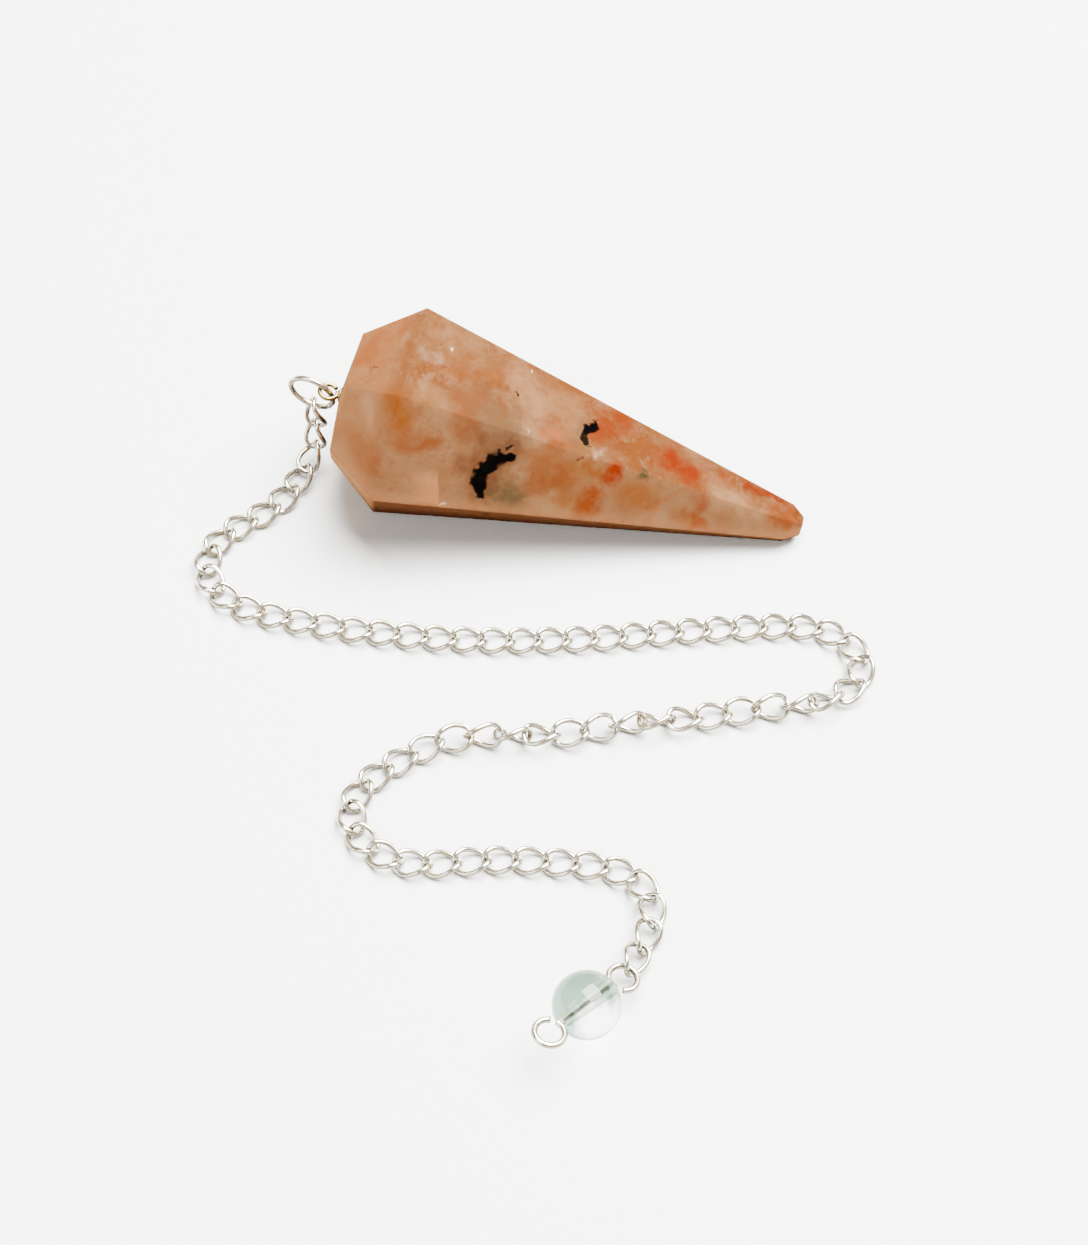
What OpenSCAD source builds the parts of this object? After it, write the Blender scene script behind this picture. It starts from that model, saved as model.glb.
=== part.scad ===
// Pendulum pendant lying on a flat surface: a six-sided stone point with a pin eye
// and a jump ring in its crown, a curb chain laid in three bends, and a drilled
// glass bead on a looped wire at the chain's free end.
// Lengths are in mm, +Z is up and the pendant rests on the plane z = 0.

/* [Stone] */
// width over the corners at the stone's widest ring
stone_width = 22; // [18:0.5:26]
// width over the corners at the crown, above the shoulder
crown_width = 13.4; // [10:0.2:16]
// length of the shoulder between the widest ring and the crown
shoulder_length = 5.3; // [3:0.1:8]
// length of the long taper from the widest ring to the tip
taper_length = 39.1; // [30:0.1:46]
// width over the corners where the tip is bevelled
tip_width = 4.1; // [3:0.1:6]
// length of the bevel at the tip
tip_length = 1.4; // [0.6:0.1:3]
// width over the corners of the small flat end of the tip
tip_end_width = 2.1; // [1:0.1:2.8]
// height of the low pyramid on the crown
crown_height = 0.6; // [0.3:0.1:1.5]
// direction in plan from the crown to the tip, in degrees
stone_heading = -11.5; // [-30:0.5:5]

/* [Pin eye and jump ring] */
// width of the pin's stem in the stone
stem_width = 0.6; // [0.4:0.05:0.9]
// length of the stem inside the stone
stem_depth = 3.6; // [2:0.1:5]
// width of the collar that sits on the crown
collar_width = 1.5; // [1.2:0.05:1.7]
// wire width of the pin's eye
eye_wire = 0.4; // [0.3:0.02:0.5]
// play of the jump ring's wire in the pin's eye
eye_play = 0.19; // [0.12:0.01:0.3]
// radius of the jump ring, to the middle of its wire
ring_radius = 2.2; // [1.9:0.05:2.8]
// wire width of the jump ring
ring_wire = 0.5; // [0.4:0.02:0.6]
// width of the cut in the jump ring
ring_cut = 0.15; // [0.1:0.05:0.4]

/* [Chain] */
// outer length of a link
link_length = 3.9; // [3.5:0.05:4.5]
// outer width of a link
link_width = 3; // [2.7:0.05:3.3]
// wire width of a link
link_wire = 0.48; // [0.36:0.02:0.52]
// twist of a link from its middle to each end, in degrees
link_twist = 48; // [40:1:54]
// play between one link and the next
link_play = 0.24; // [0.18:0.01:0.4]

/* [Bead] */
// diameter of the glass bead
bead_diameter = 6; // [4:0.5:8]
// diameter of the hole through the bead
bead_bore = 0.9; // [0.7:0.05:1.4]
// width of the wire through the bead
bead_wire = 0.44; // [0.36:0.02:0.5]
// radius of the two wire loops beside the bead, to the middle of the wire
loop_radius = 1.3; // [1.1:0.05:1.6]
// wire width of the two loops
loop_wire = 0.5; // [0.4:0.02:0.56]
// direction in plan from the free loop to the chain's loop, in degrees
bead_heading = 44; // [20:1:70]

/* [Hidden] */

fit_gap = 0.05; // between the pin and the stone
hook_gap = 0.16; // between an end link and what it hangs on
loop_clearance = 0.25; // from the bead to the middle of a loop's wire
end_gap = 0.4; // from the pin's end to the end of its bore
seat_spare = 0.2; // by which the flat seat on the crown is wider than the collar
collar_height = 0.3;
cut_over = 1; // by which a bore's cut runs past the face
up = [0, 0, 1];
stone_sides = 6;

// steps round a wire or a bore, along a bend, and round the bead
wire_steps = 24;
bore_steps = 32;
bend_steps = 48;
bead_steps = 64;

// place in plan of the middle of the crown
crown_place = [-18.2, 27.7];
// the jump ring's plane, and the way it hangs from the pin's eye
ring_normal = unit([0.36, 0.93, 0.11]);
ring_hang = unit(flat_to(ring_normal, [-0.79, 0.36, -0.5]));
// turn of the ring's cut from the pin's eye, in degrees
ring_cut_turn = 60;
// middle of the loop at the chain's free end
loop_place = [8.2, -30.1, 1.9];
// part of the turn that the bent wire of an eye or a loop covers, and the way to its
// gap from the way to its stem, in degrees
loop_turn = 335;
gap_way = 30;

// route of the chain from the jump ring to the bead: x, y, share of the height of
// the jump ring above the surface, and roll of the links about the route in degrees
chain_route = [
    [-21, 28.6, 0.6, 50],
    [-21.3, 28, 0.25, 40],
    [-22.1, 26.4, 0.03, 25],
    [-23.4, 23.8, 0, 0],
    [-25.2, 21.4, 0, 0],
    [-27.4, 19.8, 0, 0],
    [-29.6, 18.3, 0, 0],
    [-31, 16.2, 0, 0],
    [-31.3, 13.8, 0, 0],
    [-30.1, 11.5, 0, 0],
    [-27.8, 9.7, 0, 0],
    [-25, 8.7, 0, 0],
    [-17, 7, 0, 0],
    [-6, 5.8, 0, 0],
    [5, 5.9, 0, 0],
    [16, 6.9, 0, 0],
    [24.4, 7.4, 0, 0],
    [27, 7.2, 0, 0],
    [29.5, 6.2, 0, 0],
    [31.2, 4.1, 0, 0],
    [31.2, 1.7, 0, 0],
    [29.4, -0.4, 0, 5],
    [26.9, -1.6, 0, 50],
    [24.2, -2, 0, 90],
    [21.6, -2.2, 0, 130],
    [19.2, -2.5, 0, 165],
    [14.1, -3.3, 0, 195],
    [9, -4, 0, 270],
    [3.4, -4.9, 0, 350],
    [-2, -5.2, 0, 430],
    [-7.4, -5.5, 0, 510],
    [-10.1, -6.6, 0, 540],
    [-12.6, -8.1, 0, 540],
    [-14.8, -9.9, 0, 540],
    [-16.1, -12, 0, 540],
    [-16, -14.3, 0, 540],
    [-14.4, -16.6, 0, 540],
    [-12, -18, 0, 540],
    [-9.2, -18.4, 0, 540],
    [-3.6, -17.9, 0, 540],
    [2, -18.1, 0, 540],
    [7.4, -18.8, 0, 540],
    [9.9, -20, 0, 540],
    [11, -22.4, 0, 530],
    [10.7, -25, 0, 505],
];
start_roll = 50;
end_roll = 505;
route_steps = 12; // points worked out between two places of the route

// stations round a link, corners of its wire, and fullness of its oval
link_stations = 12;
wire_corners = 6;
link_fullness = 0.85;

function unit(v) = v / norm(v);
// the part of v that lies in the plane with this normal
function flat_to(normal, v) = v - (v * normal) * normal;
// placing matrix with its origin at o and the given x and z directions
function placing(o, x, z) =
    let (y = cross(z, x))
    [[x[0], y[0], z[0], o[0]], [x[1], y[1], z[1], o[1]], [x[2], y[2], z[2], o[2]], [0, 0, 0, 1]];

// how the stone rests on one long facet
side_share = cos(180 / stone_sides);
rest_tilt = atan(side_share * (stone_width - tip_width) / 2 / taper_length);
rest_height = side_share * stone_width / 2 * cos(rest_tilt);
crown_reach = shoulder_length + crown_height;
stone_axis = [
    cos(rest_tilt) * cos(stone_heading),
    cos(rest_tilt) * sin(stone_heading),
    -sin(rest_tilt),
];
crown_top = [crown_place[0], crown_place[1], rest_height + crown_reach * sin(rest_tilt)];
seat_width = collar_width / side_share + seat_spare;
stem_bore = stem_width + 2 * fit_gap;
bore_depth = stem_depth + end_gap;
bevel_reach = crown_reach + taper_length;
// the stone's corner line, from the pin's seat on the crown to the flat end of the tip
stone_profile = [
    [0, 0],
    [seat_width / 2, 0],
    [crown_width / 2, crown_height],
    [stone_width / 2, crown_reach],
    [tip_width / 2, bevel_reach],
    [tip_end_width / 2, bevel_reach + tip_length],
    [0, bevel_reach + tip_length],
];

// the pin's eye, wide enough for the ring's wire to lean through it
eye_pull = unit(cross(ring_normal, -ring_hang));
eye_normal = unit(flat_to(stone_axis, -eye_pull));
eye_lean = abs(eye_pull * eye_normal);
eye_radius = (ring_wire / 2 + eye_wire / 2 + eye_play) / eye_lean;
eye_middle = crown_top - (eye_radius + collar_height + fit_gap) * stone_axis;

ring_middle = eye_middle + ring_radius * ring_hang;
ring_up = unit(flat_to(ring_normal, up));
ring_low = ring_middle - ring_radius * ring_up;

// one link: half sizes to the middle of its wire, and its height at rest
link_a = (link_length - link_wire) / 2;
link_b = (link_width - link_wire) / 2;
pitch = link_length - 2 * link_wire - link_play;
link_angles = [for (i = [0 : link_stations - 1]) i * 360 / link_stations];
function full(c) = sign(c) * pow(abs(c), link_fullness);
function wire_middle(angle) =
    let (x = link_a * full(cos(angle)), y = link_b * full(sin(angle)), turn = -link_twist * x / link_a)
    [x, y * cos(turn), y * sin(turn)];
function link_rest(roll) =
    link_wire / 2 + max([for (t = link_angles)
        let (p = wire_middle(t)) abs(p[1] * sin(roll) + p[2] * cos(roll))]);
flat_rest = link_rest(0);

// the bead's wire, from the free loop down to the chain's loop
loop_reach = bead_diameter / 2 + loop_clearance + loop_radius;
bead_slope = asin((bead_diameter / 2 - loop_place[2]) / loop_reach);
bead_axis = [
    cos(bead_heading) * cos(bead_slope),
    sin(bead_heading) * cos(bead_slope),
    -sin(bead_slope),
];
bead_middle = loop_place - loop_reach * bead_axis;
free_loop_place = bead_middle - loop_reach * bead_axis;
loop_normal = unit(flat_to(bead_axis, up));

// the whole route, with heights in mm
end_shift = link_a - pitch / 2;
last_place = chain_route[len(chain_route) - 1];
end_way = unit([last_place[0] - loop_place[0], last_place[1] - loop_place[1], 0]);
route_start = ring_low + (ring_wire / 2 + link_wire / 2 + hook_gap - end_shift) * ring_up;
route_end = loop_place
    + (loop_radius - loop_wire / 2 - link_wire / 2 - hook_gap + end_shift) * end_way;
route = concat(
    [concat(route_start, [start_roll])],
    [for (p = chain_route) [p[0], p[1], flat_rest + p[2] * (ring_low[2] - flat_rest), p[3]]],
    [concat(route_end, [end_roll])]
);

// smooth curve through the places of the route
function curve(a, b, c, d, t) =
    0.5 * (2 * b + (c - a) * t + (2 * a - 5 * b + 4 * c - d) * t * t
        + (3 * b - a - 3 * c + d) * t * t * t);
last = len(route) - 1;
path = [
    for (i = [0 : last - 1], k = [0 : route_steps - 1])
        curve(route[max(i - 1, 0)], route[i], route[i + 1], route[min(i + 2, last)], k / route_steps),
    route[last],
];
function place(p) = [p[0], p[1], p[2]];
path_lengths = [
    for (
        i = 0, s = 0;
        i < len(path);
        s = s + (i < len(path) - 1 ? norm(place(path[i + 1]) - place(path[i])) : 0), i = i + 1
    ) s
];
path_length = path_lengths[len(path) - 1];
columns = [for (c = [0 : 3]) [for (i = [0 : len(path) - 1]) [path_lengths[i], path[i][c]]]];

// the links share the route evenly; each one rests on the surface or above it
link_count = ceil(path_length / pitch);
link_step = path_length / link_count;
function roll_at(s) = lookup(s, columns[3]);
function joint_place(j) =
    let (
        s = j * link_step,
        rest = max(link_rest(roll_at(s - link_step / 2)), link_rest(roll_at(s + link_step / 2)))
    )
    [lookup(s, columns[0]), lookup(s, columns[1]), max(rest, lookup(s, columns[2]))];
joints = [for (j = [0 : link_count]) joint_place(j)];

// corners of a link's wire about its own middle
link_points = [
    for (t = link_angles)
        let (
            p = wire_middle(t),
            way = unit(wire_middle(t + 180 / link_stations) - wire_middle(t - 180 / link_stations)),
            side = unit(cross(way, p)),
            out = cross(side, way)
        )
        for (k = [0 : wire_corners - 1])
            p + link_wire / 2 * (cos(k * 360 / wire_corners) * out + sin(k * 360 / wire_corners) * side)
];
link_size = link_stations * wire_corners;
function corner(station, k) = (station % link_stations) * wire_corners + k % wire_corners;
link_faces = [
    for (i = [0 : link_stations - 1], k = [0 : wire_corners - 1], half = [0, 1])
        half == 0
            ? [corner(i, k), corner(i + 1, k + 1), corner(i, k + 1)]
            : [corner(i, k), corner(i + 1, k), corner(i + 1, k + 1)]
];
// a link's points in place between two joints of the route
function placed_link(i) =
    let (
        from = joints[i],
        to = joints[i + 1],
        way = unit(to - from),
        lift = max(0, (from[2] + to[2] - link_width) / 2),
        top = unit(flat_to(way, [0, -lift, 1])),
        left = cross(top, way),
        roll = roll_at((i + 0.5) * link_step),
        y = left * cos(roll) + top * sin(roll),
        z = cross(way, y)
    )
    [for (p = link_points) (from + to) / 2 + p[0] * way + p[1] * y + p[2] * z];
chain_points = [for (i = [0 : link_count - 1]) each placed_link(i)];
chain_faces = [
    for (i = [0 : link_count - 1], f = link_faces) [for (c = f) c + i * link_size]
];

// bent wire about the origin in the XY plane, its gap centred on the way to turn
module bent_wire(radius, wire, turn, covered) {
    rotate([0, 0, turn + (360 - covered) / 2])
        rotate_extrude(angle = covered, $fn = bend_steps)
            translate([radius, 0])
                circle(d = wire, $fn = wire_steps);
}

// places its children with +X along the stone's axis from the middle of the crown
module at_crown() {
    translate(crown_top)
        rotate([0, 0, stone_heading])
            rotate([0, rest_tilt, 0])
                children();
}

module stone() {
    color([0.74, 0.5, 0.34])
        at_crown()
            difference() {
                rotate([0, 90, 0])
                    rotate([0, 0, 180 / stone_sides])
                        rotate_extrude($fn = stone_sides)
                            polygon(stone_profile);
                translate([-cut_over, 0, 0])
                    rotate([0, 90, 0])
                        cylinder(h = bore_depth + cut_over, d = stem_bore, $fn = bore_steps);
            }
}

module eye_pin() {
    color([0.8, 0.72, 0.5])
        union() {
            at_crown() {
                translate([-fit_gap, 0, 0])
                    rotate([0, 90, 0])
                        cylinder(h = stem_depth + fit_gap, d = stem_width, $fn = bore_steps);
                translate([-fit_gap - collar_height, 0, 0])
                    rotate([0, 90, 0])
                        cylinder(h = collar_height, d1 = eye_wire, d2 = collar_width, $fn = bore_steps);
            }
            multmatrix(placing(eye_middle, stone_axis, eye_normal))
                bent_wire(eye_radius, eye_wire, gap_way, loop_turn);
        }
}

module jump_ring() {
    color([0.83, 0.83, 0.81])
        multmatrix(placing(ring_middle, -ring_hang, ring_normal))
            bent_wire(ring_radius, ring_wire, ring_cut_turn, 360 - asin(ring_cut / ring_radius));
}

module chain() {
    color([0.85, 0.85, 0.83])
        polyhedron(points = chain_points, faces = chain_faces);
}

module bead() {
    color([0.82, 0.9, 0.88])
        multmatrix(placing(bead_middle, bead_axis, loop_normal))
            difference() {
                sphere(d = bead_diameter, $fn = bead_steps);
                rotate([0, 90, 0])
                    cylinder(
                        h = bead_diameter + 2 * cut_over,
                        d = bead_bore,
                        center = true,
                        $fn = bore_steps
                    );
            }
}

module bead_pin() {
    color([0.82, 0.82, 0.8])
        multmatrix(placing(bead_middle, bead_axis, loop_normal)) {
            rotate([0, 90, 0])
                cylinder(
                    h = 2 * (loop_reach - loop_radius),
                    d = bead_wire,
                    center = true,
                    $fn = bore_steps
                );
            translate([loop_reach, 0, 0])
                bent_wire(loop_radius, loop_wire, 180 + gap_way, loop_turn);
            translate([-loop_reach, 0, 0])
                bent_wire(loop_radius, loop_wire, gap_way, loop_turn);
        }
}

stone();
eye_pin();
jump_ring();
chain();
bead();
bead_pin();
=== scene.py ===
"""A pendulum pendant lying on a pale surface: a stone point, a curb chain and a glass bead."""

from __future__ import annotations

import logging
import math
from collections.abc import Iterable
from dataclasses import dataclass, field
from enum import Enum
from typing import Any

import bmesh
import bpy
from mathutils import Matrix, Vector

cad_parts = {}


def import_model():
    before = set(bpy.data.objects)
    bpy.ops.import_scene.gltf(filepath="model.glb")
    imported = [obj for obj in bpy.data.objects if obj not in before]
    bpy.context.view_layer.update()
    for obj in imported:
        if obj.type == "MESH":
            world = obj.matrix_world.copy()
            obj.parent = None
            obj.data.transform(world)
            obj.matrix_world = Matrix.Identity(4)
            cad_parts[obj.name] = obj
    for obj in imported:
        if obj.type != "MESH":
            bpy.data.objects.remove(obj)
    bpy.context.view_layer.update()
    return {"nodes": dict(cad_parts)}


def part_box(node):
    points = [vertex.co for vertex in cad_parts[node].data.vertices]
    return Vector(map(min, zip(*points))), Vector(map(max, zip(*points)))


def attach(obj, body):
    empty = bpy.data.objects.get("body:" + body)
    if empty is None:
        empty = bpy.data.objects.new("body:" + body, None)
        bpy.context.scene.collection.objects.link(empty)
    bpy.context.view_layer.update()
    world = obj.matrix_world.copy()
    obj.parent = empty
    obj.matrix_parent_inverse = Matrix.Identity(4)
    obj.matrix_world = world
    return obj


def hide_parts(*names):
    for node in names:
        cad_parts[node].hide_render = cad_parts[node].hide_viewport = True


LOG = logging.getLogger("pendant")

# Sizes are in mm and the frame is in metres. Corners closer than SEAM are one corner.
MM = 0.001
SEAM = 0.002 * MM

Triple = tuple[float, float, float]
Colour = tuple[float, float, float, float]


def tone(red: float, green: float, blue: float) -> Colour:
    """Turns a display colour into the linear colour that shaders take.

    Args:
        red: Red from 0 to 255.
        green: Green from 0 to 255.
        blue: Blue from 0 to 255.

    Returns:
        The linear colour with an alpha of 1.
    """

    def linear(part: float) -> float:
        """One part of the colour, from 0 to 255, as a linear share."""
        share = part / 255
        return share / 12.92 if share <= 0.04045 else ((share + 0.055) / 1.055) ** 2.4

    return (linear(red), linear(green), linear(blue), 1.0)


class Body(Enum):
    """The rigid bodies that pieces ride on."""

    ROOT = "root"


class Slot(Enum):
    """The record's material slots."""

    STONE = "sunstone"
    PIN = "pin_metal"
    CHAIN = "chain_metal"
    BEAD = "bead_glass"


class Edge(Enum):
    """How a mark in the stone ends.

    Each has the soft share of the mark's half width, and the noises that push the mark
    about, with their size and reach in mm.
    """

    MISTY = (0.85, ((2.2, 1.5), (0.7, 0.5)))
    RAGGED = (0.25, ((0.9, 0.8), (0.35, 0.15)))

    def __init__(self, soft: float, pushes: tuple[tuple[float, float], ...]) -> None:
        """Keeps the softness and the pushes by name."""
        self.soft = soft
        self.pushes = pushes


@dataclass(frozen=True)
class Axes:
    """A piece's own axes: its middle in mm, its first direction and its third."""

    middle: Vector = field(default_factory=lambda: Vector((0, 0, 0)))
    along: Vector = field(default_factory=lambda: Vector((1, 0, 0)))
    up: Vector = field(default_factory=lambda: Vector((0, 0, 1)))

    def turn(self) -> Matrix:
        """The turn from the frame's directions to the piece's own."""
        return Matrix((self.along, self.up.cross(self.along), self.up))


class Value:
    """A number that varies over a surface, with the arithmetic that the finishes use."""

    def __init__(self, paint: Paint, socket: Any) -> None:
        """Keeps a socket and the paint that it belongs to."""
        self.paint = paint
        self.socket = socket

    def maths(self, operation: str, *others: Any, settings: dict[str, Any] | None = None) -> Value:
        """Adds one Math node.

        Args:
            operation: The node's operation.
            others: The node's inputs in order.
            settings: Other settings of the node.

        Returns:
            The node's result.
        """
        node = self.paint.node(
            "ShaderNodeMath", {"operation": operation, **(settings or {})}, dict(enumerate(others))
        )
        return Value(self.paint, node.outputs[0])

    def __add__(self, other: Any) -> Value:
        """This value plus another."""
        return self.maths("ADD", self, other)

    __radd__ = __add__

    def __sub__(self, other: Any) -> Value:
        """This value less another."""
        return self.maths("SUBTRACT", self, other)

    def __rsub__(self, other: Any) -> Value:
        """Another value less this one."""
        return self.maths("SUBTRACT", other, self)

    def __mul__(self, other: Any) -> Value:
        """This value times another."""
        return self.maths("MULTIPLY", self, other)

    __rmul__ = __mul__

    def kept_in(self) -> Value:
        """This value held between 0 and 1."""
        return self.maths("ADD", self, 0.0, settings={"use_clamp": True})

    def size(self) -> Value:
        """This value without its sign."""
        return self.maths("ABSOLUTE", self)

    def step(self, low: float, high: float) -> Value:
        """A smooth step over this value.

        Args:
            low: Where the step is 0.
            high: Where the step is 1, which may lie below low.

        Returns:
            The step, from 0 to 1.
        """
        start, end, first, last = (low, high, 0.0, 1.0) if low < high else (high, low, 1.0, 0.0)
        node = self.paint.node(
            "ShaderNodeMapRange",
            {"interpolation_type": "SMOOTHSTEP"},
            {"Value": self, "From Min": start, "From Max": end, "To Min": first, "To Max": last},
        )
        return Value(self.paint, node.outputs[0])


class Paint:
    """A material's nodes, added one by one and joined to its surface shader."""

    def __init__(self, name: str) -> None:
        """Starts an empty material with a principled surface."""
        self.material = bpy.data.materials.new(name)
        self.material.use_nodes = True
        self.tree = self.material.node_tree
        self.tree.nodes.clear()
        self.surface = self.node("ShaderNodeBsdfPrincipled")
        self.node("ShaderNodeOutputMaterial", None, {"Surface": self.surface.outputs[0]})

    def node(
        self,
        kind: str,
        settings: dict[str, Any] | None = None,
        inputs: dict[Any, Any] | None = None,
    ) -> Any:
        """Adds a node.

        Args:
            kind: The node's type.
            settings: Attributes, which are set before the inputs.
            inputs: Values or links by the socket's name or number.

        Returns:
            The new node.
        """
        node = self.tree.nodes.new(kind)
        for key, value in (settings or {}).items():
            setattr(node, key, value)
        for key, value in (inputs or {}).items():
            self.feed(node.inputs[key], value)
        return node

    def feed(self, socket: Any, value: Any) -> None:
        """Links or sets one input.

        Args:
            socket: The input.
            value: A Value, a node's output, or a constant.
        """
        if isinstance(value, Value):
            value = value.socket
        if isinstance(value, bpy.types.NodeSocket):
            self.tree.links.new(value, socket)
        elif hasattr(socket.default_value, "__len__") and len(socket.default_value) != len(value):
            socket.default_value = tuple(value)[: len(socket.default_value)]
        else:
            socket.default_value = value

    def dress(self, **inputs: Any) -> bpy.types.Material:
        """Feeds the surface shader.

        Args:
            inputs: The shader's inputs, with spaces written as underscores.

        Returns:
            The finished material.
        """
        for key, value in inputs.items():
            self.feed(self.surface.inputs[key.replace("_", " ")], value)
        return self.material

    def place(self, axes: Axes) -> Any:
        """Object coordinates in mm, in a piece's own axes.

        Args:
            axes: The piece's axes.

        Returns:
            The vector socket.
        """
        turn = axes.turn()
        inputs = {
            "Vector": self.node("ShaderNodeTexCoord").outputs["Object"],
            "Location": tuple(-(turn @ axes.middle)),
            "Rotation": tuple(turn.to_euler("XYZ")),
            "Scale": (1 / MM, 1 / MM, 1 / MM),
        }
        return self.node("ShaderNodeMapping", None, inputs).outputs[0]

    def vector(self, operation: str, *inputs: Any, output: str = "Vector") -> Any:
        """Adds one Vector Math node.

        Args:
            operation: The node's operation.
            inputs: Its inputs in order; a scale goes by name.
            output: The output that is wanted.

        Returns:
            The output socket.
        """
        feeds: dict[Any, Any] = dict(enumerate(inputs))
        if operation == "SCALE":
            feeds = {0: inputs[0], "Scale": inputs[1]}
        return self.node("ShaderNodeVectorMath", {"operation": operation}, feeds).outputs[output]

    def noise(self, place: Any, size: float, detail: float = 3.0, rough: float = 0.5) -> Value:
        """Noise with features of about the given size.

        Args:
            place: Coordinates in mm.
            size: Size of the features in mm.
            detail: Octaves of finer noise.
            rough: Strength of the finer noise.

        Returns:
            The noise, from 0 to 1.
        """
        node = self.node(
            "ShaderNodeTexNoise",
            None,
            {"Vector": place, "Scale": 1 / size, "Detail": detail, "Roughness": rough},
        )
        return Value(self, node.outputs["Fac"])

    def warped(self, place: Any, size: float, reach: float) -> Any:
        """Coordinates pushed about by noise.

        Args:
            place: Coordinates in mm.
            size: Size of the noise in mm.
            reach: Greatest push in mm.

        Returns:
            The pushed coordinates.
        """
        node = self.node(
            "ShaderNodeTexNoise", None, {"Vector": place, "Scale": 1 / size, "Detail": 3.0}
        )
        centred = self.vector("SUBTRACT", node.outputs["Color"], (0.5, 0.5, 0.5))
        return self.vector("ADD", place, self.vector("SCALE", centred, 2 * reach))

    def mixed(self, share: Any, first: Any, second: Any) -> Any:
        """A colour between two.

        Args:
            share: 0 for the first colour, 1 for the second.
            first: A colour or a colour socket.
            second: A colour or a colour socket.

        Returns:
            The mixed colour's socket.
        """
        node = self.tree.nodes.new("ShaderNodeMix")
        node.data_type = "RGBA"
        node.clamp_factor = True
        for index, value in ((0, share), (6, first), (7, second)):
            self.feed(node.inputs[index], value)
        return node.outputs[2]

    def layered(self, colour: Any, layers: Iterable[tuple[Any, Any]]) -> Any:
        """A colour with others laid over it in order.

        Args:
            colour: The colour underneath.
            layers: The share and the colour of each layer.

        Returns:
            The colour socket of the whole.
        """
        for share, layer in layers:
            colour = self.mixed(share, colour, layer)
        return colour

    def axis_part(self, place: Any, axis: str) -> Value:
        """One coordinate of a place, by its letter."""
        return Value(self, self.node("ShaderNodeSeparateXYZ", None, {0: place}).outputs[axis])

    def facing_up(self) -> Value:
        """How far the surface faces up, from -1 to 1."""
        return self.axis_part(self.node("ShaderNodeNewGeometry").outputs["Normal"], "Z")

    def bump(self, height: Value, strength: float, depth: float) -> Any:
        """A Bump node's normal.

        Args:
            height: Height from 0 to 1.
            strength: Strength of the bump.
            depth: Depth of the relief in mm.

        Returns:
            The normal socket.
        """
        inputs = {"Strength": strength, "Distance": depth * MM, "Height": height}
        return self.node("ShaderNodeBump", None, inputs).outputs[0]


@dataclass(frozen=True)
class Mark:
    """A fleck or streak in the stone, from one place to another in the stone's axes, in mm."""

    start: Triple
    end: Triple
    width: float
    colour: Colour
    strength: float = 1.0
    edge: Edge = Edge.MISTY


@dataclass(frozen=True)
class SilverFinish:
    """Warm silver plating, clouded in places, with painted shade on its sides and underside."""

    name: str
    bright: Colour
    worn: Colour
    # The tint and the share of the painted shade on the sides and underside are below.
    painted_side_shade: Colour
    rough: float = 0.16
    wear: float = 0.7
    painted_side_shade_share: float = 0.92

    def material(self) -> bpy.types.Material:
        """Mixes the plating.

        Returns:
            The plating's material.
        """
        paint = Paint(self.name)
        place = paint.place(Axes())
        cloud = paint.noise(place, 1.6, 4.0).step(0.42, 0.68)
        rub = paint.noise(place, 0.12, 3.0, 0.7)
        # Painted shade: faces that turn away from up darken toward the shade tint.
        below = paint.facing_up().step(0.76, 0.2)
        layers = ((cloud * self.wear, self.worn), (below * self.painted_side_shade_share, self.painted_side_shade))
        return paint.dress(
            Base_Color=paint.layered(self.bright, layers),
            Metallic=0.97,
            Roughness=self.rough + cloud * 0.08 + rub * 0.06,
            Normal=paint.bump(rub, 0.12, 0.01),
        )


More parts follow.
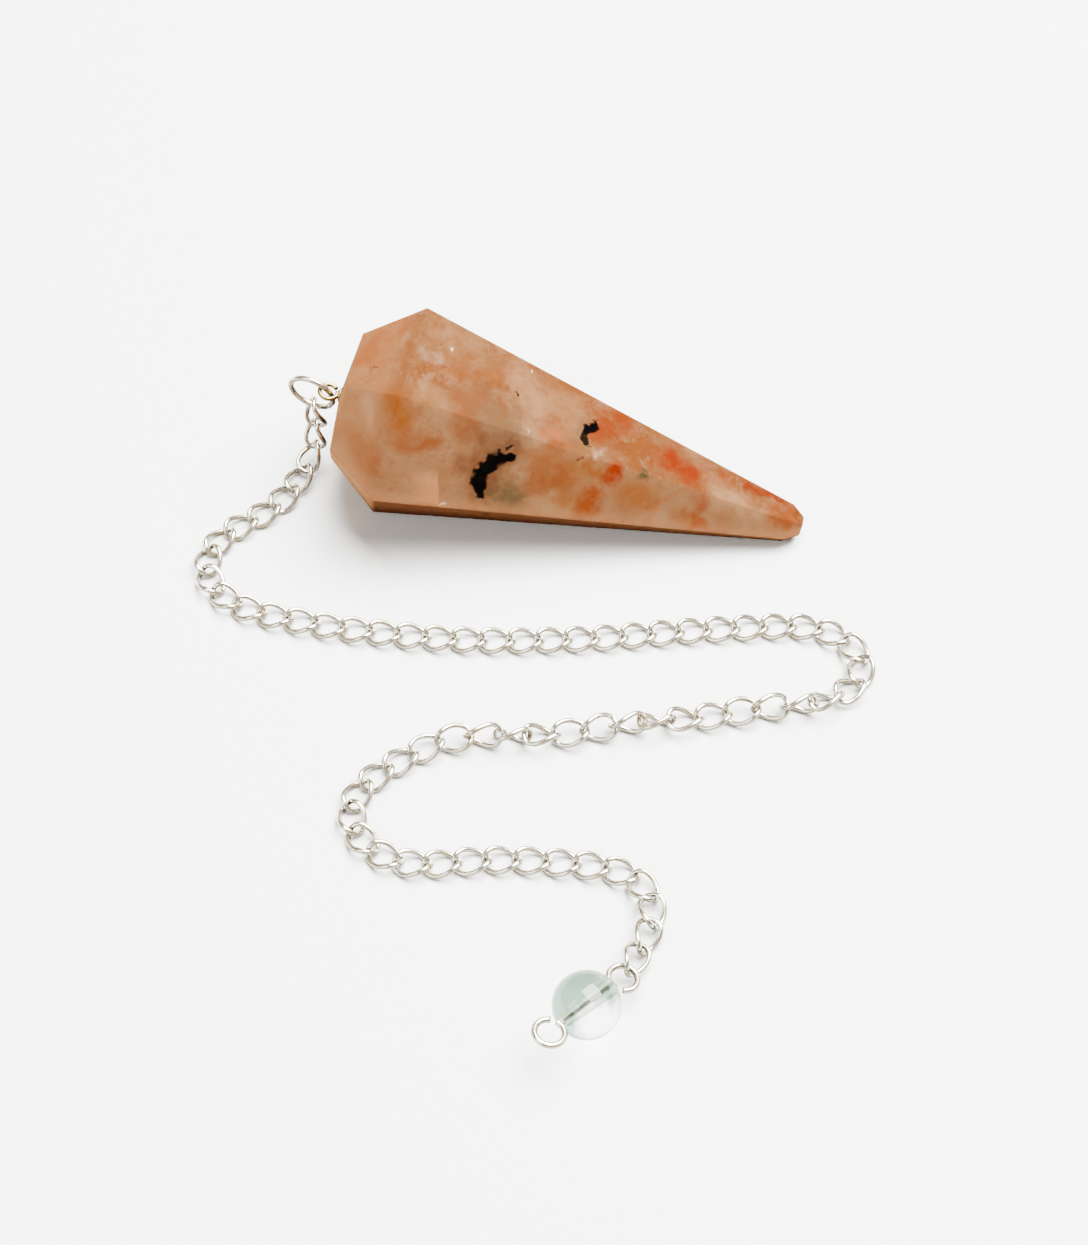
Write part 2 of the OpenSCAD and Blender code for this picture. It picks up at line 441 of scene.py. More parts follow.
@dataclass(frozen=True)
class StoneFinish:
    """Peach feldspar with orange clouds, pale veils, black needles and orange flecks.

    Painted light and painted shade even out what the lights do to the facets: painted light
    lifts the side facets, and painted shade darkens the top ones. The cleft is a crack inside
    the front, which shows as a paler patch that ends on a straight line.
    """

    name: str
    axes: Axes
    marks: tuple[Mark, ...]
    cleft_place: float = 12.06
    cleft_lean: float = 0.318
    cleft_reach: float = 3.5
    # Shares of the painted light on the side facets, the painted shade on the top facets and the
    # painted shade on the underside.
    painted_side_light_share: float = 0.36
    painted_top_shade_share: float = 0.24
    painted_underside_shade_share: float = 0.88
    peach: Colour = tone(99, 64, 35)
    pale: Colour = tone(118, 86, 58)
    amber: Colour = tone(94, 50, 19)
    # Colour of the painted shade on the top facets and on the underside.
    painted_shade: Colour = tone(48, 20, 7)
    # Colour of the paler cleft and of the painted light along the lower edge and on the crown.
    glow: Colour = tone(160, 106, 64)
    # Colour of the painted light on the side facets.
    painted_side_light: Colour = tone(128, 95, 66)

    def _share(self, paint: Paint, place: Any, mark: Mark) -> Value:
        """How much of a mark shows.

        Args:
            paint: The stone's paint.
            place: Coordinates in the stone's axes.
            mark: The mark.

        Returns:
            Its share, from 0 to 1.
        """
        start, end = Vector(mark.start), Vector(mark.end)
        way = end - start
        offset = paint.vector("SUBTRACT", place, tuple(start))
        if way.length > 0:
            slope = tuple(way / way.length_squared)
            along = paint.vector("DOT_PRODUCT", offset, slope, output="Value")
            share = Value(paint, along).kept_in()
            offset = paint.vector("SUBTRACT", offset, paint.vector("SCALE", tuple(way), share))
        distance = Value(paint, paint.vector("LENGTH", offset, output="Value"))
        half, soft = mark.width / 2, mark.edge.soft
        return distance.step(half * (1 + soft), half * (1 - soft)) * mark.strength

    def _marks(self, paint: Paint, place: Any, edge: Edge) -> list[tuple[Value, Colour]]:
        """The layers of the marks that end in one way.

        Args:
            paint: The stone's paint.
            place: Coordinates in the stone's axes.
            edge: How the marks end.

        Returns:
            The share and the colour of each mark.
        """
        for size, reach in edge.pushes:
            place = paint.warped(place, size, reach)
        chosen = (mark for mark in self.marks if mark.edge is edge)
        return [(self._share(paint, place, mark), mark.colour) for mark in chosen]

    def _light_within(self, paint: Paint, place: Any) -> list[tuple[Value, Colour]]:
        """The layers that light the cleft, the lower edge and the crown, and shade the underside.

        Args:
            paint: The stone's paint.
            place: Coordinates in the stone's axes.

        Returns:
            The share and the colour of each layer.
        """
        reach, across, height = (paint.axis_part(place, axis) for axis in "XYZ")
        cleft = reach + height * self.cleft_lean
        broken = cleft.step(self.cleft_place + 0.05, self.cleft_place - 0.05)
        broken = broken * cleft.step(self.cleft_place - self.cleft_reach, self.cleft_place - 0.5)
        broken = broken * height.step(3.6, 2.2) * height.step(0.0, 0.5)
        broken = broken * across.step(-1.0, -3.0)
        # Painted light along the thin lower edge, where light comes through the stone.
        lower_edge = height.step(1.3, 0.3) * height.step(0.0, 0.2)
        # Painted light on the crown end.
        crown = reach.step(6.0, 3.5)
        # Painted shade on the underside that faces the floor.
        under = height.step(0.1, -0.3) * reach.step(5.4, 6.2)
        return [
            (broken * 0.5, self.glow),
            (lower_edge * 0.2, self.glow),
            (crown * 0.16, self.glow),
            (under * self.painted_underside_shade_share, self.painted_shade),
        ]

    def material(self) -> bpy.types.Material:
        """Mixes the stone.

        Returns:
            The stone's material.
        """
        paint = Paint(self.name)
        place = paint.place(self.axes)
        clouds = paint.noise(paint.warped(place, 2.6, 2.2), 4.5, 5.0, 0.6)
        patches = paint.noise(paint.warped(place, 5.0, 3.0), 2.4, 5.0, 0.6)
        mottle = paint.noise(paint.warped(place, 1.2, 0.8), 1.0, 4.0, 0.6)
        grains = paint.noise(place, 0.35, 4.0, 0.65)
        wisps = (paint.noise(paint.warped(place, 3.0, 2.0), 3.4, 3.0, 0.6) - 0.5).size()
        facing = paint.facing_up()
        blotched = mottle.step(0.25, 0.6) * 0.5 + 0.55
        misty = self._marks(paint, place, Edge.MISTY)
        ragged = self._marks(paint, place, Edge.RAGGED)
        layers = [
            (clouds.step(0.4, 0.6), self.amber),
            # Painted light that lifts the side facets.
            (facing.step(0.75, 0.55) * self.painted_side_light_share, self.painted_side_light),
            (patches.step(0.5, 0.68) * 0.7, self.pale),
            (mottle.step(0.54, 0.7) * 0.45, self.amber),
            (wisps.step(0.08, 0.0) * mottle.step(0.4, 0.65) * 0.35, self.pale),
            (grains.step(0.5, 0.75) * 0.34, self.pale),
            (grains.step(0.45, 0.25) * 0.4, self.amber),
            *((share * blotched, colour) for share, colour in misty),
            # Painted shade that darkens the top facets.
            (facing.step(0.62, 0.82) * self.painted_top_shade_share, self.painted_shade),
            *ragged,
            *self._light_within(paint, place),
        ]
        return paint.dress(
            Base_Color=paint.layered(self.peach, layers),
            Roughness=0.3 + grains * 0.15,
            IOR=1.53,
            Subsurface_Weight=0.35,
            Subsurface_Radius=(1.0, 0.5, 0.3),
            Subsurface_Scale=1.8 * MM,
            Specular_IOR_Level=0.0,
            Coat_Weight=mottle.step(0.5, 0.7) * 0.04,
            Coat_Roughness=0.2,
            Normal=paint.bump(paint.noise(place, 0.9, 4.0, 0.6), 0.2, 0.04),
        )


@dataclass(frozen=True)
class GlassFinish:
    """Clear glass with a grey aqua tint, deepened into painted shade toward the rim and lightened
    into painted light along a line through the bead.
    """

    name: str
    middle: Vector
    # Painted light gathers along a line through the bead; away from it the aqua tint deepens into
    # painted shade.
    painted_light_place: Triple = (1.1, -0.9, -0.6)
    painted_light_way: Triple = (0.0, -0.57, 0.82)
    aqua_tint_and_painted_shade: Colour = tone(58, 84, 66)
    light: Colour = tone(252, 255, 253)

    def material(self) -> bpy.types.Material:
        """Mixes the glass.

        Returns:
            The bead's material.
        """
        paint = Paint(self.name)
        place = paint.place(Axes(self.middle))
        offset = paint.vector("SUBTRACT", place, self.painted_light_place)
        across = paint.vector("CROSS_PRODUCT", offset, self.painted_light_way)
        distance = Value(paint, paint.vector("LENGTH", across, output="Value"))
        swirl = paint.noise(place, 1.1, 2.0)
        # Share of painted light near the line; painted shade further off.
        clear = (distance + swirl * 2.0).step(3.4, 1.9)
        return paint.dress(
            Base_Color=paint.mixed(clear, self.aqua_tint_and_painted_shade, self.light),
            Roughness=0.015,
            IOR=1.5,
            Transmission_Weight=1.0,
        )


@dataclass(frozen=True)
class FrostFinish:
    """The ground, whitish wall of the hole through the bead, with painted shade in a brown stripe
    where the wire lies behind it.
    """

    name: str
    axes: Axes
    frost: Colour = tone(244, 247, 243)
    shade: Colour = tone(64, 48, 30)

    def material(self) -> bpy.types.Material:
        """Mixes the ground wall.

        Returns:
            The hole's material.
        """
        paint = Paint(self.name)
        place = paint.place(self.axes)
        grain = paint.noise(place, 0.15, 3.0, 0.7)
        # Painted shade: a brown stripe that stands in for the shaded wire seen through the wall.
        wire = (paint.axis_part(place, "Y") + grain * 0.2 - 0.02).size().step(0.2, 0.08)
        wire = wire * paint.axis_part(place, "Z").step(0.0, 0.1)
        return paint.dress(
            Base_Color=paint.mixed(wire, self.frost, self.shade),
            Roughness=0.4 + grain * 0.2,
            IOR=1.5,
            Transmission_Weight=0.15,
            Normal=paint.bump(grain, 0.4, 0.02),
        )


@dataclass(frozen=True)
class FloorFinish:
    """Smooth near-white card."""

    name: str
    colour: Colour = tone(252, 252, 250)

    def material(self) -> bpy.types.Material:
        """Mixes the card.

        Returns:
            The card's material.
        """
        paint = Paint(self.name)
        grain = paint.noise(paint.place(Axes()), 0.5, 3.0)
        return paint.dress(
            Base_Color=self.colour,
            Roughness=0.55 + grain * 0.1,
            Normal=paint.bump(grain, 0.05, 0.02),
        )


def linked(name: str, data: Any) -> bpy.types.Object:
    """Makes an object and links it to the scene.

    Args:
        name: Its name.
        data: Its mesh, light or camera.

    Returns:
        The new object.
    """
    made = bpy.data.objects.new(name, data)
    bpy.context.collection.objects.link(made)
    return made


def merged_copy(node: bpy.types.Object, name: str) -> tuple[bpy.types.Object, bmesh.types.BMesh]:
    """Starts a piece from the frame's own solid, with its loose triangles joined.

    Args:
        node: The solid's object.
        name: The new piece's name.

    Returns:
        The new object and the mesh being edited.
    """
    piece = linked(name, bpy.data.meshes.new(name))
    edited = bmesh.new()
    edited.from_mesh(node.data)
    bmesh.ops.remove_doubles(edited, verts=edited.verts, dist=SEAM)
    return piece, edited


def thicken(edited: bmesh.types.BMesh, by: float) -> None:
    """Moves a mesh's surface outwards.

    Args:
        edited: The mesh.
        by: The distance in mm.
    """
    edited.normal_update()
    for corner in edited.verts:
        corner.co += corner.normal * by * MM


def settle(piece: bpy.types.Object, edited: bmesh.types.BMesh, smooth_angle: float) -> None:
    """Writes an edited mesh to its piece and shades it smooth up to an angle.

    Args:
        piece: The piece.
        edited: Its edited mesh, which is freed.
        smooth_angle: The sharpest edge that still looks smooth, in degrees.
    """
    for face in edited.faces:
        face.smooth = True
    edited.to_mesh(piece.data)
    edited.free()
    piece.data.set_sharp_from_angle(angle=math.radians(smooth_angle))


def finish_piece(
    piece: bpy.types.Object, materials: list[bpy.types.Material], node: str
) -> None:
    """Dresses a piece, puts it on its body and lets it stand for its solid.

    Args:
        piece: The piece.
        materials: Its materials, in the order of its faces' material numbers.
        node: The solid that it stands for.
    """
    for material in materials:
        piece.data.materials.append(material)
    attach(piece, Body.ROOT.value)
    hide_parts(node)
    LOG.info("built %s with %d faces", piece.name, len(piece.data.polygons))


@dataclass
class Stone:
    """The faceted stone point.

    Its marks are shared out over stretches of its length, because one material can't
    render them all. Neighbouring stretches share the marks that reach over their cut.
    """

    crown: Vector = field(default_factory=lambda: Vector((-18.2, 27.7, 10.492)))
    heading: float = -11.5
    dip: float = 11.2126
    length: float = 46.4
    cuts: tuple[float, ...] = (10.5, 19.5, 29.0)
    spread: float = 1.5
    edge_round: float = 0.6
    round_steps: int = 4
    flat_angle: float = 1.0
    facet_angle: float = 8.0
    least_edge: float = 0.8
    cut_snap: float = 0.0001
    smooth_angle: float = 30.0

    def axes(self) -> Axes:
        """Works out the stone's axes.

        Returns:
            The axes, from the middle of its crown toward its tip.
        """
        turn = Matrix.Rotation(math.radians(self.heading), 3, "Z") @ Matrix.Rotation(
            math.radians(self.dip), 3, "Y"
        )
        return Axes(self.crown, turn @ Vector((1, 0, 0)), turn @ Vector((0, 0, 1)))

    def marks(self) -> tuple[Mark, ...]:
        """Lists the stone's flecks, veils and streaks.

        Returns:
            The marks, the broad soft ones first, because later ones lie over earlier ones.
        """
        orange, rust, red = tone(102, 54, 17), tone(96, 44, 14), tone(100, 27, 3)
        coral, pale, milk = tone(98, 39, 10), tone(122, 87, 55), tone(130, 94, 64)
        grey, moss, plum = tone(82, 64, 42), tone(56, 48, 26), tone(74, 42, 24)
        black, white = tone(4, 3, 3), tone(172, 148, 124)
        peat, salmon, cinnamon = tone(64, 50, 30), tone(126, 72, 42), tone(102, 44, 11)
        copper, brick = tone(102, 40, 9), tone(94, 30, 9)
        ochre, bark = tone(100, 46, 13), tone(70, 28, 8)
        ragged = Edge.RAGGED
        return (
            Mark((14.0, -3.0, 7.9), (16.8, -4.4, 7.1), 4.6, grey, 0.65),
            Mark((16.4, -7.3, 2.0), (18.4, -7.0, 1.4), 3.0, peat, 0.85),
            Mark((19.4, 1.0, 6.8), (22.4, 0.3, 6.3), 3.6, pale, 0.6),
            Mark((16.0, 2.4, 7.5), (18.4, -1.0, 7.0), 2.6, milk, 0.65),
            Mark((8.0, 3.2, 9.1), (10.7, 3.4, 8.6), 2.6, pale, 0.5),
            Mark((3.0, -4.8, 6.7), (4.0, -6.4, 5.3), 1.5, milk, 0.6),
            Mark((7.6, -4.0, 9.2), (10.0, -4.6, 8.7), 2.2, pale, 0.5),
            Mark((1.8, -5.5, 3.8), (2.2, -7.4, 0.9), 2.4, pale, 0.45),
            Mark((20.8, -4.3, 5.6), (23.6, -4.6, 4.1), 4.0, orange, 0.6),
            Mark((28.6, -4.0, 3.1), (30.7, -3.9, 2.4), 3.2, orange, 0.6),
            Mark((21.1, -6.7, 1.5), (24.0, -6.1, 1.3), 2.0, pale, 0.6),
            Mark((30.4, -4.3, 1.9), (32.6, -4.2, 1.2), 2.0, milk, 0.55),
            Mark((17.0, -5.2, 5.8), (15.0, -7.4, 2.6), 3.0, plum, 0.85),
            Mark((13.6, -5.2, 6.6), (14.4, -5.7, 6.0), 2.0, plum, 0.75),
            Mark((11.6, -3.2, 8.4), (12.8, -2.2, 8.1), 2.2, rust, 0.6),
            Mark((8.0, -7.2, 5.6), (9.4, -6.9, 5.9), 2.2, rust, 0.6),
            Mark((1.6, 0.2, 6.6), (2.6, 0.8, 7.1), 2.4, orange, 0.7),
            Mark((20.4, -5.9, 3.1), (22.0, -5.3, 3.6), 2.6, rust, 0.75),
            Mark((18.2, -3.4, 6.9), (19.2, -3.8, 6.4), 1.8, milk, 0.6),
            Mark((29.8, -4.3, 2.4), (31.0, -4.0, 2.4), 2.2, orange, 0.8),
            Mark((34.8, -3.8, 1.2), (36.0, -3.6, 1.0), 1.8, orange, 0.8),
            Mark((23.0, -6.0, 1.9), (24.4, -5.7, 2.1), 1.6, orange, 0.7),
            Mark((13.0, -6.9, 4.2), (14.0, -6.5, 4.5), 2.2, plum, 0.7),
            Mark((1.5, -0.4, 6.4), (2.2, 2.5, 6.9), 1.7, rust, 0.85),
            Mark((5.2, -5.4, 8.8), (6.4, -6.8, 6.9), 3.0, orange, 1.0),
            Mark((2.2, -6.4, 2.8), (4.9, -8.6, 2.7), 2.6, rust, 0.65),
            Mark((9.1, -7.0, 5.7), (10.5, -6.6, 5.7), 1.1, rust, 0.6),
            Mark((12.2, -4.8, 7.9), (12.9, -5.6, 7.3), 2.4, rust, 0.6),
            Mark((9.1, -0.4, 8.9), (13.7, 1.5, 8.0), 2.6, orange, 0.5),
            Mark((19.7, -2.8, 6.8), (21.1, -2.3, 6.5), 1.4, salmon, 0.85),
            Mark((24.9, -0.2, 5.8), (26.3, 2.2, 5.5), 3.0, coral, 1.0),
            Mark((24.5, -3.9, 5.0), (25.8, -3.9, 4.5), 1.6, orange, 0.85),
            Mark((32.2, -0.0, 4.3), (34.6, -0.6, 3.9), 3.0, coral, 0.75),
            Mark((32.5, -0.1, 4.3), (34.2, -0.5, 3.9), 1.7, red, 1.0),
            Mark((26.6, -3.9, 4.2), (27.0, -3.5, 4.7), 1.4, red, 1.0),
            Mark((30.0, -1.0, 4.8), (30.1, -1.0, 4.8), 0.9, coral, 0.9),
            Mark((37.4, 0.9, 3.3), (37.8, 0.6, 3.2), 1.0, coral, 0.9),
            Mark((25.2, -5.9, 1.1), (25.6, -5.3, 2.1), 1.9, cinnamon, 1.0),
            Mark((36.0, -2.4, 2.9), (36.1, -2.8, 2.2), 1.5, coral, 0.7),
            Mark((36.1, -3.6, 0.9), (36.9, -3.5, 0.7), 1.3, copper, 1.0),
            Mark((37.7, -1.1, 3.2), (39.9, -1.6, 2.8), 2.6, milk, 0.9),
            Mark((41.9, -1.5, 2.1), (42.7, -1.6, 1.6), 1.3, milk, 0.8),
            Mark((40.2, 0.9, 2.7), (43.6, 0.9, 2.1), 1.2, brick, 1.0),
            Mark((43.4, -1.1, 2.0), (45.1, -0.4, 1.7), 2.2, ochre, 0.95),
            Mark((45.6, 0.7, 1.5), (46.3, -0.5, 1.0), 0.9, bark, 0.7),
            Mark((29.9, -2.5, 4.8), (30.1, -2.9, 4.4), 0.7, moss, 1.0),
            Mark((23.1, 0.2, 6.0), (23.3, -2.2, 6.0), 1.5, grey, 0.6),
            Mark((24.7, -3.2, 5.8), (25.4, -2.1, 5.7), 0.9, white, 0.3),
            Mark((6.6, 0.6, 9.4), (8.2, 0.1, 9.1), 1.1, white, 0.22),
            Mark((33.3, -2.8, 3.4), (34.0, -2.7, 3.2), 0.22, white, 0.3, ragged),
            Mark((9.2, 2.0, 8.9), (9.2, 2.0, 8.9), 0.35, white, 0.9, ragged),
            Mark((17.1, 3.6, 7.3), (17.1, 3.6, 7.3), 0.4, white, 0.9, ragged),
            Mark((18.1, -3.5, 7.1), (18.1, -3.5, 7.1), 0.4, white, 0.3, ragged),
            Mark((12.3, -9.3, 0.5), (12.3, -9.3, 0.5), 0.35, white, 0.8, ragged),
            Mark((7.7, -9.1, 2.6), (10.6, -9.0, 1.6), 0.12, plum, 0.35, ragged),
            Mark((16.1, -8.2, 0.8), (16.1, -8.2, 0.8), 0.5, plum, 0.7, ragged),
            Mark((17.3, -5.0, 6.1), (16.9, -5.1, 5.9), 0.32, black, 0.9, ragged),
            Mark((16.6, -5.3, 5.6), (16.3, -5.4, 5.4), 0.36, black, 0.9, ragged),
            Mark((15.9, -5.9, 4.9), (17.3, -5.4, 5.0), 0.8, black, 1.0, ragged),
            Mark((16.2, -5.8, 4.8), (15.4, -6.6, 3.9), 1.5, black, 1.0, ragged),
            Mark((15.4, -6.6, 3.9), (14.9, -7.2, 3.0), 1.5, black, 1.0, ragged),
            Mark((14.9, -7.2, 3.0), (15.4, -7.8, 1.7), 1.2, black, 1.0, ragged),
            Mark((24.2, 0.9, 5.9), (24.0, 0.3, 5.9), 0.38, black, 1.0, ragged),
            Mark((24.0, 0.2, 5.9), (23.7, -0.5, 6.0), 1.1, black, 1.0, ragged),
            Mark((23.6, -0.9, 6.0), (23.6, -1.9, 5.9), 0.8, black, 0.95, ragged),
            Mark((24.1, -2.3, 5.9), (24.1, -2.3, 5.9), 0.32, black, 0.9, ragged),
            Mark((23.8, -3.7, 5.6), (23.7, -3.8, 5.6), 0.45, plum, 1.0, ragged),
            Mark((41.0, -1.8, 1.9), (41.0, -1.8, 1.9), 0.5, black, 0.95, ragged),
            Mark((29.4, 1.4, 4.9), (29.4, 1.4, 4.9), 0.3, plum, 0.9, ragged),
            Mark((16.1, 0.2, 7.5), (16.2, 0.0, 7.5), 0.34, black, 0.95, ragged),
            Mark((8.9, -0.2, 8.9), (9.2, -0.3, 8.8), 0.26, plum, 0.9, ragged),
            Mark((2.6, -1.5, 7.2), (2.6, -1.5, 7.2), 0.3, black, 0.9, ragged),
            Mark((2.9, -1.4, 7.4), (3.1, -1.4, 7.4), 0.3, black, 0.9, ragged),
            Mark((16.6, -7.3, -2.1), (16.4, -7.3, -2.8), 0.8, black, 0.9, ragged),
        )

    def marks_in(self, low: float, high: float) -> tuple[Mark, ...]:
        """The marks that reach into a stretch of the stone.

        Args:
            low: Where the stretch starts along the stone, in mm.
            high: Where it ends.

        Returns:
            The marks, in their order.
        """
        return tuple(
            mark
            for mark in self.marks()
            if max(mark.start[0], mark.end[0]) + mark.width / 2 + self.spread > low
            and min(mark.start[0], mark.end[0]) - mark.width / 2 - self.spread < high
        )

    def _round_edges(self, edited: bmesh.types.BMesh) -> None:
        """Joins the triangles of each facet and rounds the edges between facets.

        Args:
            edited: The stone's mesh.
        """
        bmesh.ops.dissolve_limit(
            edited,
            angle_limit=math.radians(self.flat_angle),
            verts=edited.verts,
            edges=edited.edges,
        )
        sharp = [
            edge
            for edge in edited.edges
            if len(edge.link_faces) == 2
            and edge.calc_face_angle() > math.radians(self.facet_angle)
            and edge.calc_length() > self.least_edge * MM
        ]
        bmesh.ops.bevel(
            edited,
            geom=sharp,
            affect="EDGES",
            offset=self.edge_round * MM,
            offset_type="OFFSET",
            segments=self.round_steps,
            profile=0.5,
            material=-1,
            clamp_overlap=True,
        )

    def _cut_stretches(self, edited: bmesh.types.BMesh, along: Vector) -> None:
        """Cuts the faces at the ends of the stretches and numbers their materials.

        Args:
            edited: The stone's mesh.
            along: The stone's direction.
        """
        for cut in self.cuts:
            bmesh.ops.bisect_plane(
                edited,
                geom=edited.verts[:] + edited.edges[:] + edited.faces[:],
                dist=self.cut_snap * MM,
                plane_co=(self.crown + along * cut) * MM,
                plane_no=along,
            )
        for face in edited.faces:
            reach = (face.calc_center_median() / MM - self.crown).dot(along)
            face.material_index = sum(reach > cut for cut in self.cuts)

    def build(self, node: bpy.types.Object) -> bpy.types.Object:
        """Rounds the stone's facet edges a little and dresses it.

        Args:
            node: The stone's solid.

        Returns:
            The finished piece.
        """
        piece, edited = merged_copy(node, "stone_point")
        axes = self.axes()
        self._round_edges(edited)
        self._cut_stretches(edited, axes.along)
        settle(piece, edited, self.smooth_angle)
        ends = (0.0, *self.cuts, self.length)
        finishes = [
            StoneFinish(f"feldspar_stretch_{number}", axes, self.marks_in(low, high))
            for number, (low, high) in enumerate(zip(ends, ends[1:]), 1)
        ]
        finish_piece(piece, [finish.material() for finish in finishes], "stone")
        return piece


@dataclass
class Chain:
    """The curb chain, each link's wire rounded from the solid's six-sided one."""

    fatten: float = 0.06
    rounding: int = 2
    smooth_angle: float = 180.0

    def build(self, node: bpy.types.Object, material: bpy.types.Material) -> bpy.types.Object:
        """Rounds and dresses the links.

        Args:
            node: The chain's solids.
            material: The plating.

        Returns:
            The finished piece.
        """
        piece, edited = merged_copy(node, "curb_chain")
        bmesh.ops.join_triangles(
            edited,
            faces=edited.faces,
            angle_face_threshold=math.pi,
            angle_shape_threshold=math.pi,
        )
        thicken(edited, self.fatten)
        settle(piece, edited, self.smooth_angle)
        rounded = piece.modifiers.new("rounded_wire", "SUBSURF")
        rounded.levels = rounded.render_levels = self.rounding
        finish_piece(piece, [material], "chain")
        return piece


@dataclass
class WireFitting:
    """A ring or eye of bent wire, taken smooth from its solid."""

    name: str
    node: str
    slot: Slot
    fatten: float = 0.03
    smooth_angle: float = 40.0

    def build(self, node: bpy.types.Object, material: bpy.types.Material) -> bpy.types.Object:
        """Joins, smooths and dresses the wire.

        Args:
            node: The fitting's solid.
            material: Its plating.

        Returns:
            The finished piece.
        """
        piece, edited = merged_copy(node, self.name)
        thicken(edited, self.fatten)
        settle(piece, edited, self.smooth_angle)
        finish_piece(piece, [material], self.node)
        return piece


@dataclass
class Bead:
    """The drilled glass bead, with its hole along the given way."""

    way: Triple = (0.698, 0.674, -0.2418)
    diameter: float = 6.0
    bore: float = 0.9
    rows: int = 48
    turns: int = 96
    bore_spare: float = 1.001
    smooth_angle: float = 30.0

    def axes(self) -> Axes:
        """Works out the bead's axes.

        Returns:
            The axes, with the middle of its solid's box and the direction of its hole.
        """
        low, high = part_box("bead")
        along = Vector(self.way).normalized()
        up = (Vector((0, 0, 1)) - along * along.z).normalized()
        return Axes((Vector(low) + Vector(high)) / 2 / MM, along, up)

    def _spin(self, edited: bmesh.types.BMesh) -> None:
        """Spins the bead's outline round its hole, and numbers the hole's faces 1.

        Args:
            edited: The empty mesh.
        """
        half, hole = self.diameter / 2 * MM, self.bore / 2 * MM
        rim = math.asin(hole / half)
        corners = []
        for row in range(self.rows + 1):
            angle = rim + (math.pi - 2 * rim) * row / self.rows
            corners.append(edited.verts.new((half * math.cos(angle), half * math.sin(angle), 0.0)))
        outline = [edited.edges.new(pair) for pair in zip(corners, corners[1:])]
        outline.append(edited.edges.new((corners[-1], corners[0])))
        bmesh.ops.spin(
            edited,
            geom=corners + outline,
            cent=(0, 0, 0),
            axis=(1, 0, 0),
            angle=math.tau,
            steps=self.turns,
            use_merge=True,
        )
        bmesh.ops.remove_doubles(edited, verts=edited.verts, dist=SEAM)
        bmesh.ops.recalc_face_normals(edited, faces=edited.faces)
        for face in edited.faces:
            off_axis = face.calc_center_median().yz.length
            face.material_index = int(off_axis < hole * self.bore_spare)

    def build(self) -> bpy.types.Object:
        """Spins the bead, puts it in its place and dresses it.

        Returns:
            The finished piece.
        """
        piece = linked("glass_bead", bpy.data.meshes.new("glass_bead"))
        edited = bmesh.new()
        self._spin(edited)
        axes = self.axes()
        shift = Matrix.Translation(axes.middle * MM)
        turn = axes.turn().transposed().to_4x4()
        bmesh.ops.transform(edited, matrix=shift @ turn, verts=edited.verts)
        settle(piece, edited, self.smooth_angle)
        glass = GlassFinish("clear_glass", axes.middle)
        frost = FrostFinish("ground_hole", axes)
        finish_piece(piece, [glass.material(), frost.material()], "bead")
        piece.visible_shadow = False
        return piece


@dataclass(frozen=True)
class Softbox:
    """A soft square light; its place and side are in metres and its power in watts."""

    name: str
    place: Triple
    side: float
    power: float

    def hang(self) -> None:
        """Hangs the light so that it faces the pendant."""
        lamp = bpy.data.lights.new(self.name, "AREA")
        lamp.size = self.side
        lamp.energy = self.power
        holder = linked(self.name, lamp)
        holder.location = self.place
        holder.rotation_euler = (-Vector(self.place)).to_track_quat("-Z", "Y").to_euler()


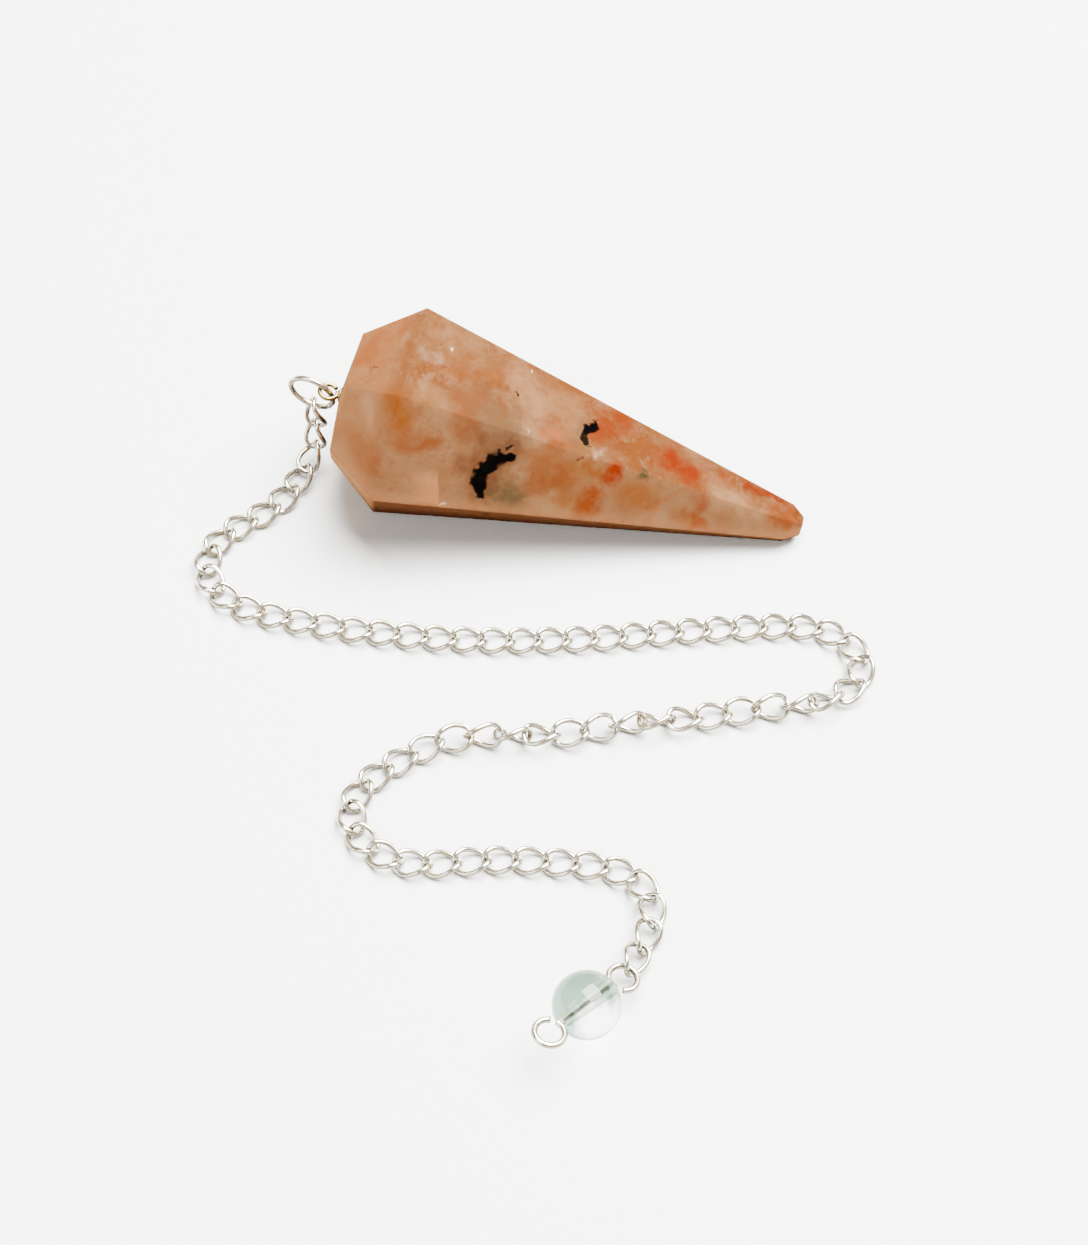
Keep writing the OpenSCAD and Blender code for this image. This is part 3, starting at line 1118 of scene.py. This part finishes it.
@dataclass
class Studio:
    """The pale surface, the soft lights and the camera.

    The target and the distance are in mm, and the floor's reach is in metres.
    """

    target: Vector = field(default_factory=lambda: Vector((1.4, 8.3, 0.0)))
    elevation: float = 55.5
    distance: float = 235.5
    lens: float = 71.34
    sensor_height: float = 36.0
    nearest: float = 0.005
    floor_reach: float = 3.0
    softboxes: tuple[Softbox, ...] = (
        Softbox("overhead_softbox", (0.22, 0.2, 0.74), 0.7, 62.0),
        Softbox("front_softbox", (-0.5, -0.35, 0.45), 0.4, 3.5),
    )
    surround_colour: Colour = (1.0, 0.76, 0.52, 1.0)
    surround_strength: float = 0.22

    def _floor(self) -> None:
        """Lays the pale surface."""
        piece = linked("surface", bpy.data.meshes.new("surface"))
        edited = bmesh.new()
        bmesh.ops.create_grid(edited, x_segments=1, y_segments=1, size=self.floor_reach)
        edited.to_mesh(piece.data)
        edited.free()
        piece.data.materials.append(FloorFinish("pale_card").material())

    def _surround(self) -> None:
        """Sets an even warm surround."""
        world = bpy.data.worlds.new("surround")
        world.use_nodes = True
        back = world.node_tree.nodes["Background"]
        back.inputs["Color"].default_value = self.surround_colour
        back.inputs["Strength"].default_value = self.surround_strength
        bpy.context.scene.world = world

    def _camera(self) -> None:
        """Sets the camera at the photograph's place and angle."""
        data = bpy.data.cameras.new("view")
        data.sensor_fit = "VERTICAL"
        data.sensor_height = self.sensor_height
        data.lens = self.lens
        data.clip_start = self.nearest
        holder = linked("view", data)
        angle = math.radians(self.elevation)
        back = Vector((0.0, -math.cos(angle), math.sin(angle))) * self.distance
        holder.location = (self.target + back) * MM
        holder.rotation_euler = (math.radians(90 - self.elevation), 0.0, 0.0)
        bpy.context.scene.camera = holder

    def build(self) -> None:
        """Sets the whole studio."""
        self._floor()
        for softbox in self.softboxes:
            softbox.hang()
        self._surround()
        self._camera()


def main() -> None:
    """Builds the pendant piece by piece and sets the studio."""
    logging.basicConfig(level=logging.INFO, format="%(name)s: %(message)s")
    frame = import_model()
    nodes = frame["nodes"]
    # The darkest colour of each plating is its painted shade on the sides and underside.
    silver = SilverFinish(
        "silver_plate", bright=tone(253, 248, 230), worn=tone(214, 197, 152), painted_side_shade=tone(62, 48, 20)
    )
    brass = SilverFinish(
        "worn_warm_plate",
        bright=tone(190, 164, 110),
        worn=tone(150, 122, 68),
        painted_side_shade=tone(76, 56, 26),
        rough=0.22,
    )
    plate, warm_plate = silver.material(), brass.material()
    Stone().build(nodes["stone"])
    WireFitting("pin_eye", "eye_pin", Slot.PIN).build(nodes["eye_pin"], warm_plate)
    WireFitting("open_ring", "jump_ring", Slot.CHAIN).build(nodes["jump_ring"], plate)
    Chain().build(nodes["chain"], plate)
    WireFitting("bead_wire", "bead_pin", Slot.CHAIN).build(nodes["bead_pin"], plate)
    Bead().build()
    Studio().build()


if __name__ == "__main__":
    main()
